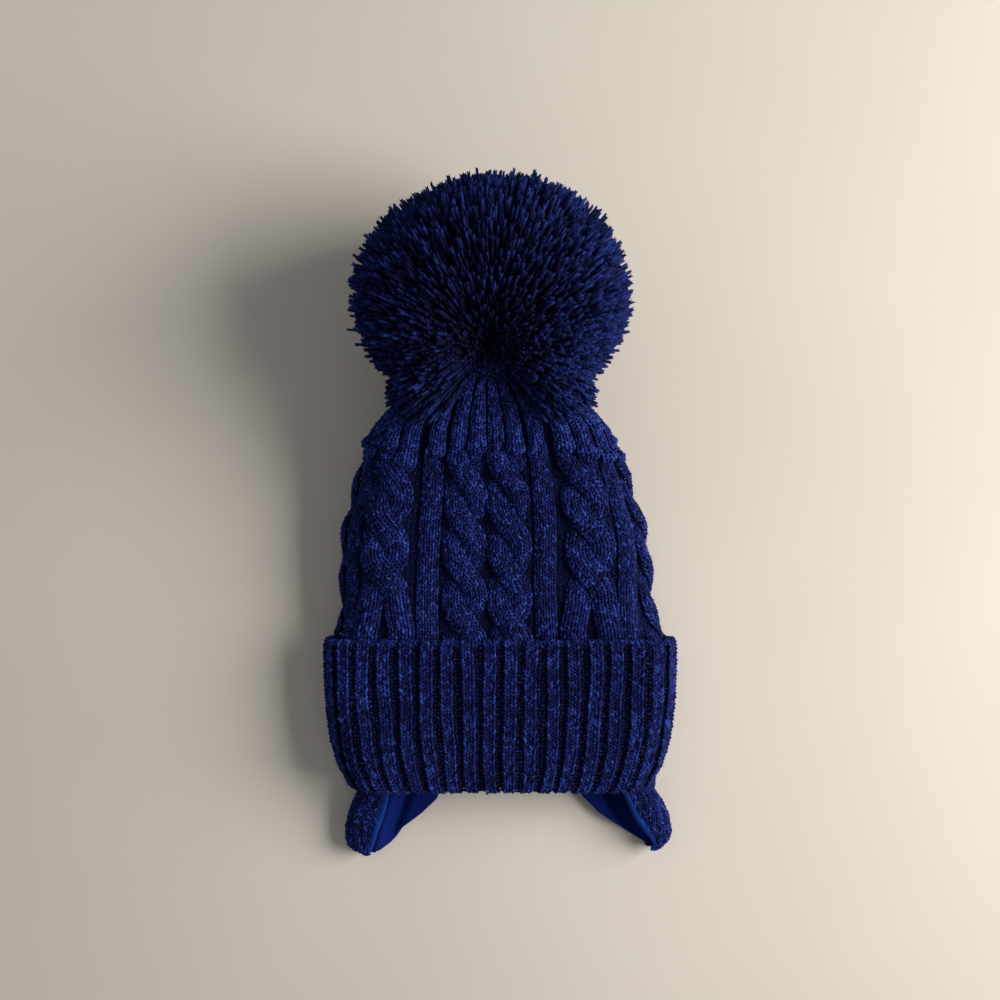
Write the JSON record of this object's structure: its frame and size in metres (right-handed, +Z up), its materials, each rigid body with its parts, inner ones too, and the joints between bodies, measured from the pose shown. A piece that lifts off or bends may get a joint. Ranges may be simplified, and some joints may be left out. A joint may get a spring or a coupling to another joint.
{
  "type": "pom pom beanie",
  "caption": "Cable-knit baby beanie with a wide ribbed turn-up, lined ear flaps and a big yarn pom-pom tied to its gathered crown, lying flat.",
  "frame": {"origin": "on the surface the hat lies on, under the middle of its overall box", "axes": "+Y from the hat's mouth to its pom-pom, +X across the hat, +Z up from the surface it lies on"},
  "size_m": [0.17, 0.3196, 0.1139],
  "materials": {
    "knit": "navy heathered acrylic-wool yarn, knitted, matte with a soft fuzz",
    "lining": "smooth navy jersey, matte",
    "sewing_yarn": "plain navy yarn, matte",
    "pom_yarn": "cut navy yarn strands, matte, dark between the strands",
    "flap_trim": "brighter navy jersey edge, matte"
  },
  "bodies": {
    "hat": {"crown": "knit", "ribbed_cuff": "knit", "lining_front": "lining", "lining_back": "lining", "crown_seam": "sewing_yarn", "gather_thread": "sewing_yarn", "tie_knot": "sewing_yarn", "left_flap_seam": "sewing_yarn", "right_flap_seam": "sewing_yarn"},
    "tie_loop": {"tie_loop": "sewing_yarn"},
    "tie_cord": {"tie_cord": "sewing_yarn"},
    "pom": {"pom_binding": "sewing_yarn", "pom_yarn": "pom_yarn"},
    "left_flap": {"left_flap_knit": "knit", "left_flap_lining": "lining", "left_flap_binding": "flap_trim"},
    "right_flap": {"right_flap_knit": "knit", "right_flap_lining": "lining", "right_flap_binding": "flap_trim"}
  },
  "joints": [
    {"name": "pom_nod", "type": "hinge", "parent": "hat", "child": "tie_loop", "pos_m": [-0.004, 0.07, 0.056], "axis": [1, 0, 0], "range_deg": [0, 18]},
    {"name": "pom_sway", "type": "hinge", "parent": "tie_loop", "child": "tie_cord", "pos_m": [-0.004, 0.07, 0.056], "axis": [0, 0, 1], "range_deg": [-10, 10]},
    {"name": "pom_twist", "type": "hinge", "parent": "tie_cord", "child": "pom", "pos_m": [-0.004, 0.07, 0.056], "axis": [0, 1, 0], "range_deg": [-20, 20]},
    {"name": "left_flap_lift", "type": "hinge", "parent": "hat", "child": "left_flap", "pos_m": [-0.047, -0.126, 0.009], "axis": [-1, 0, 0], "range_deg": [0, 30]},
    {"name": "right_flap_lift", "type": "hinge", "parent": "hat", "child": "right_flap", "pos_m": [0.053, -0.126, 0.009], "axis": [-1, 0, 0], "range_deg": [0, 30]}
  ]
}
